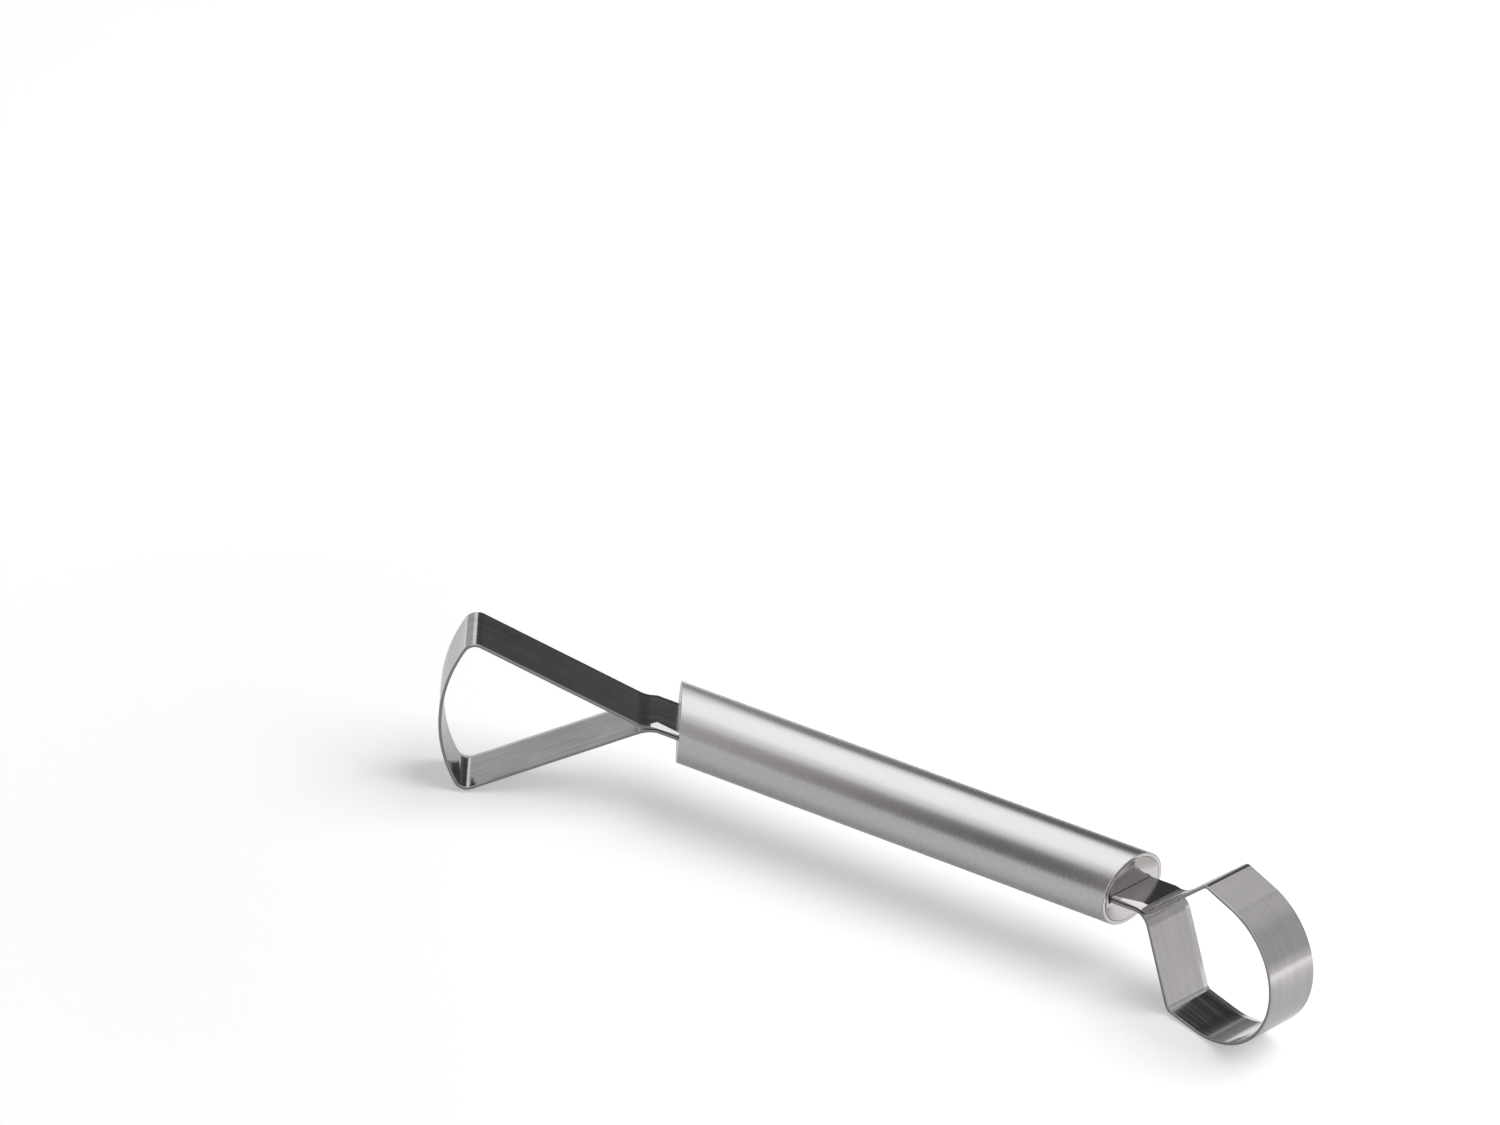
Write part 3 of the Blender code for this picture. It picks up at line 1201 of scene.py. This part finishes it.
@dataclass(frozen=True)
class RoundWall:
    """The card that stands round all, dark at the back and white towards its top.

    Its light is made of patches. A patch is a product of changes, and each change names
    its way, where it starts in wall radii and the level up to there, and where it stops
    and the level from there. The sky goes by the height with its lifts added.
    """

    radius: float = 2.0
    height: float = 3.0
    sides: int = 128
    plain: tuple = (("back", (-0.9, 0.25), (-0.1, 0.52)),)
    low_glow: tuple = (("up", (0.0, 0.28), (0.22, 0.0)), ("right", (0.3, 0.0), (0.8, 1.0)))
    high_glow: tuple = (("up", (0.75, 0.0), (1.1, 0.14)), ("right", (0.0, 0.0), (0.2, 1.0)))
    dark: tuple = (("up", (0.0, 0.33), (0.72, 0.06)), ("right", (-0.4, 1.0), (-0.05, 0.5)))
    dark_share: tuple = (("back", (0.70, 0.0), (0.86, 1.0)), ("right", (0.05, 1.0), (0.30, 0.0)))
    window: tuple = (
        ("right", (-0.85, 0.0), (-0.70, 1.0)),
        ("right", (-0.58, 1.0), (-0.48, 0.0)),
        ("up", (0.15, 0.0), (0.45, 1.0)),
    )
    bar: tuple = (
        ("up", (0.34, 0.0), (0.38, 0.45)),
        ("up", (0.43, 1.0), (0.47, 0.0)),
        ("right", (-0.36, 1.0), (-0.28, 0.0)),
    )
    sky_lifts: tuple[Ease, ...] = (
        ((0.05, 0.0), (0.45, -0.45)), ((-0.38, 0.17), (-0.26, 0.0)), ((-0.15, 0.0), (-0.03, 0.10))
    )
    sky: tuple = (("sky", (0.90, 0.0), (1.12, 1.0)), ("right", (-0.2, 1.0), (0.0, 0.76)))

    def build(self) -> None:
        """Stand the wall up."""
        wall = add_primitive(
            "wall_card", bpy.ops.mesh.primitive_cylinder_add, vertices=self.sides,
            radius=self.radius, depth=self.height, end_fill_type="NOTHING",
            location=(0.0, 0.0, self.height / 2),
        )
        finish = Finish("wall_card")
        ways = dict(zip(("right", "back", "up"), finish.object_axes(self.radius)))
        lifts = [finish.ramp(ways["right"], *lift) for lift in self.sky_lifts]
        ways["sky"] = finish.calculate("ADD", ways["up"], *lifts)

        def patch(changes: tuple) -> Socket:
            """Return the level of a patch."""
            return finish.calculate("MULTIPLY", *[finish.ramp(ways[way], *ease) for way, *ease in changes])

        plain = finish.calculate("ADD", *map(patch, (self.plain, self.low_glow, self.high_glow)))
        change = finish.calculate("SUBTRACT", patch(self.dark), plain)
        change = finish.calculate("MULTIPLY", change, patch(self.dark_share))
        level = finish.calculate("ADD", plain, change)
        lights = map(patch, (self.window, self.bar, self.sky))
        make_card(wall, finish, finish.calculate("MAXIMUM", level, *lights))


@dataclass(frozen=True)
class Studio:
    """Floor, cards, world, lamp and camera."""

    azimuth: float = 24.78 * DEG
    elevation: float = 31.78 * DEG
    roll: float = 5.84 * DEG
    distance: float = 1.212
    focal_px: float = 5100.0
    handle_middle_px: Pair = (901.3, 803.7)
    sensor: float = 36.0
    clip: Pair = (0.01, 50.0)
    floor_size: Pair = (12.0, 12.0)
    floor_color: Triple = (0.86, 0.86, 0.86)
    floor_glow: Ease = ((0.13, 0.35), (0.34, 0.46))
    room_light: float = 0.20
    key_power: float = 13.0
    key_size: float = 1.1
    key_place: Triple = (0.52, 0.30, 1.05)
    ceiling_size: Pair = (1.45, 1.345)
    ceiling_place: Triple = (-0.475, 0.1325, 1.1)
    ceiling_glow: float = 1.42
    front_size: Pair = (1.1, 0.33)
    front_place: Triple = (-0.15, -0.35, 0.166)
    front_tint: Triple = (1.0, 0.94, 0.98)
    front_levels: tuple[Ease, ...] = (
        ((-0.30, 0.50), (0.0, 0.13)), ((-0.60, 0.5), (-0.42, 0.0)), ((0.04, 0.0), (0.14, 0.9))
    )
    filter_size: Pair = (0.80, 0.80)
    filter_place: Triple = (0.0, 0.0, 0.2 * MM)
    filter_grey: Ease = ((0.10, 0.35), (0.36, 0.0))
    clear_place: Triple = (0.0905, 0.0285, 0.0)
    clear_share: Ease = ((0.016, 0.0), (0.030, 1.0))

    def build(self) -> None:
        """Set up the whole studio."""
        self._camera()
        self._floor()
        self._filter()
        self._ceiling()
        self._front()
        RoundWall().build()
        self._world()
        self._lamp()
        bpy.context.scene.view_settings.view_transform = "Standard"

    def _camera(self) -> None:
        """Stand the camera where the photograph was taken from."""
        tip = Matrix.Rotation(QUARTER_TURN - self.elevation, 3, "X")
        roll = Matrix.Rotation(self.roll, 3, "Z")
        turn = Matrix.Rotation(self.azimuth, 3, "Z") @ tip @ roll
        right, up, back = turn.col
        middle = (end_frame(End.LARGE).translation + end_frame(End.SMALL).translation) / 2
        aside = (self.handle_middle_px[0] - PHOTO_WIDTH_PX / 2) / self.focal_px
        below = (self.handle_middle_px[1] - PHOTO_HEIGHT_PX / 2) / self.focal_px
        eye = middle + self.distance * (back - aside * right + below * up)
        data = bpy.data.cameras.new("photo_camera")
        data.sensor_width = self.sensor
        data.lens = self.focal_px * self.sensor / PHOTO_WIDTH_PX
        data.clip_start, data.clip_end = self.clip
        camera = bpy.data.objects.new("photo_camera", data)
        camera.matrix_world = Matrix.Translation(eye) @ turn.to_4x4()
        bpy.context.scene.collection.objects.link(camera)
        bpy.context.scene.camera = camera

    def _floor(self) -> None:
        """Lay a pale floor that shows white and keeps the slicer's shadow."""
        floor = lay_sheet("floor", self.floor_size, ORIGIN)
        finish = Finish("pale_floor")
        finish.shade("Base Color", self.floor_color)
        finish.shade("Roughness", 1.0)
        finish.shade("Specular IOR Level", 0.0)
        finish.shade("Emission Color", WHITE)
        glow = finish.ramp(finish.distance(), *self.floor_glow)
        finish.shade("Emission Strength", finish.calculate("MULTIPLY", finish.seen_share(), glow))
        floor.data.materials.append(finish.material)

    def _filter(self) -> None:
        """Lay a grey filter on the floor, so that metal shows the floor light grey."""
        sheet = lay_sheet("filter_card", self.filter_size, self.filter_place)
        finish = Finish("filter_card")
        grey = finish.ramp(finish.distance(), *self.filter_grey)
        clear = finish.ramp(finish.distance(self.clear_place), *self.clear_share)
        finish.shade("Alpha", finish.calculate("MULTIPLY", grey, clear))
        make_card(sheet, finish, 0.0)

    def _ceiling(self) -> None:
        """Hang the bright sheet that the top of the handle reflects."""
        sheet = lay_sheet("ceiling_card", self.ceiling_size, self.ceiling_place)
        make_card(sheet, Finish("ceiling_card"), self.ceiling_glow)

    def _front(self) -> None:
        """Stand a low card before the slicer, bright at both ends and dark near the middle."""
        card = lay_sheet("front_card", self.front_size, self.front_place, QUARTER_TURN)
        finish = Finish("front_card")
        right = finish.object_axes()[0]
        levels = [finish.ramp(right, *ease) for ease in self.front_levels]
        make_card(card, finish, finish.calculate("ADD", *levels), self.front_tint)

    def _world(self) -> None:
        """Fill the room with even light, and show white to the camera and in metal."""
        world = bpy.data.worlds.new("studio_room")
        world.use_nodes = True
        nodes = Nodes(world.node_tree)
        background = world.node_tree.nodes["Background"]
        nodes.feed(background.inputs["Color"], WHITE)
        strength = nodes.ramp(nodes.seen_share(), (0.0, self.room_light), (1.0, 1.0))
        nodes.feed(background.inputs["Strength"], strength)
        bpy.context.scene.world = world

    def _lamp(self) -> None:
        """Hang one wide soft lamp above."""
        data = bpy.data.lights.new("overhead_softbox", "AREA")
        data.shape = "SQUARE"
        data.size = self.key_size
        data.energy = self.key_power
        lamp = bpy.data.objects.new("overhead_softbox", data)
        lamp.location = self.key_place
        lamp.rotation_euler = (-Vector(self.key_place)).to_track_quat("-Z", "Y").to_euler()
        lamp.visible_camera = False
        lamp.visible_glossy = False
        bpy.context.scene.collection.objects.link(lamp)


def mount_piece(piece: Piece, node: str) -> None:
    """Put a finished piece on the body, in place of its CAD node.

    Args:
        piece: The finished piece.
        node: The CAD node that it stands for.
    """
    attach(piece, BODY)
    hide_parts(node)
    log.info("%s stands for %s, %d faces", piece.name, node, len(piece.data.polygons))


def main() -> None:
    """Build the slicer and the studio."""
    logging.basicConfig(level=logging.INFO, format="%(relativeCreated)d ms %(name)s: %(message)s")
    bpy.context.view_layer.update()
    blade_finishes = {
        End.LARGE: StripSteel("large_blade_steel", (0.64, 0.64, 0.66), (0.42, 0.42, 0.44)),
        End.SMALL: StripSteel("small_blade_steel", (0.60, 0.575, 0.575), (0.48, 0.46, 0.465)),
    }
    mount_piece(HandleTube().build(), "handle_tube")
    for end in End:
        mount_piece(EndCap(end).build(), f"{end.value}_end_cap")
        loop = BladeLoop(end, blade_finishes[end]).build()
        mount_piece(loop, f"{end.value}_blade_loop")
    Studio().build()
    log.info("studio built")


if __name__ == "__main__":
    main()
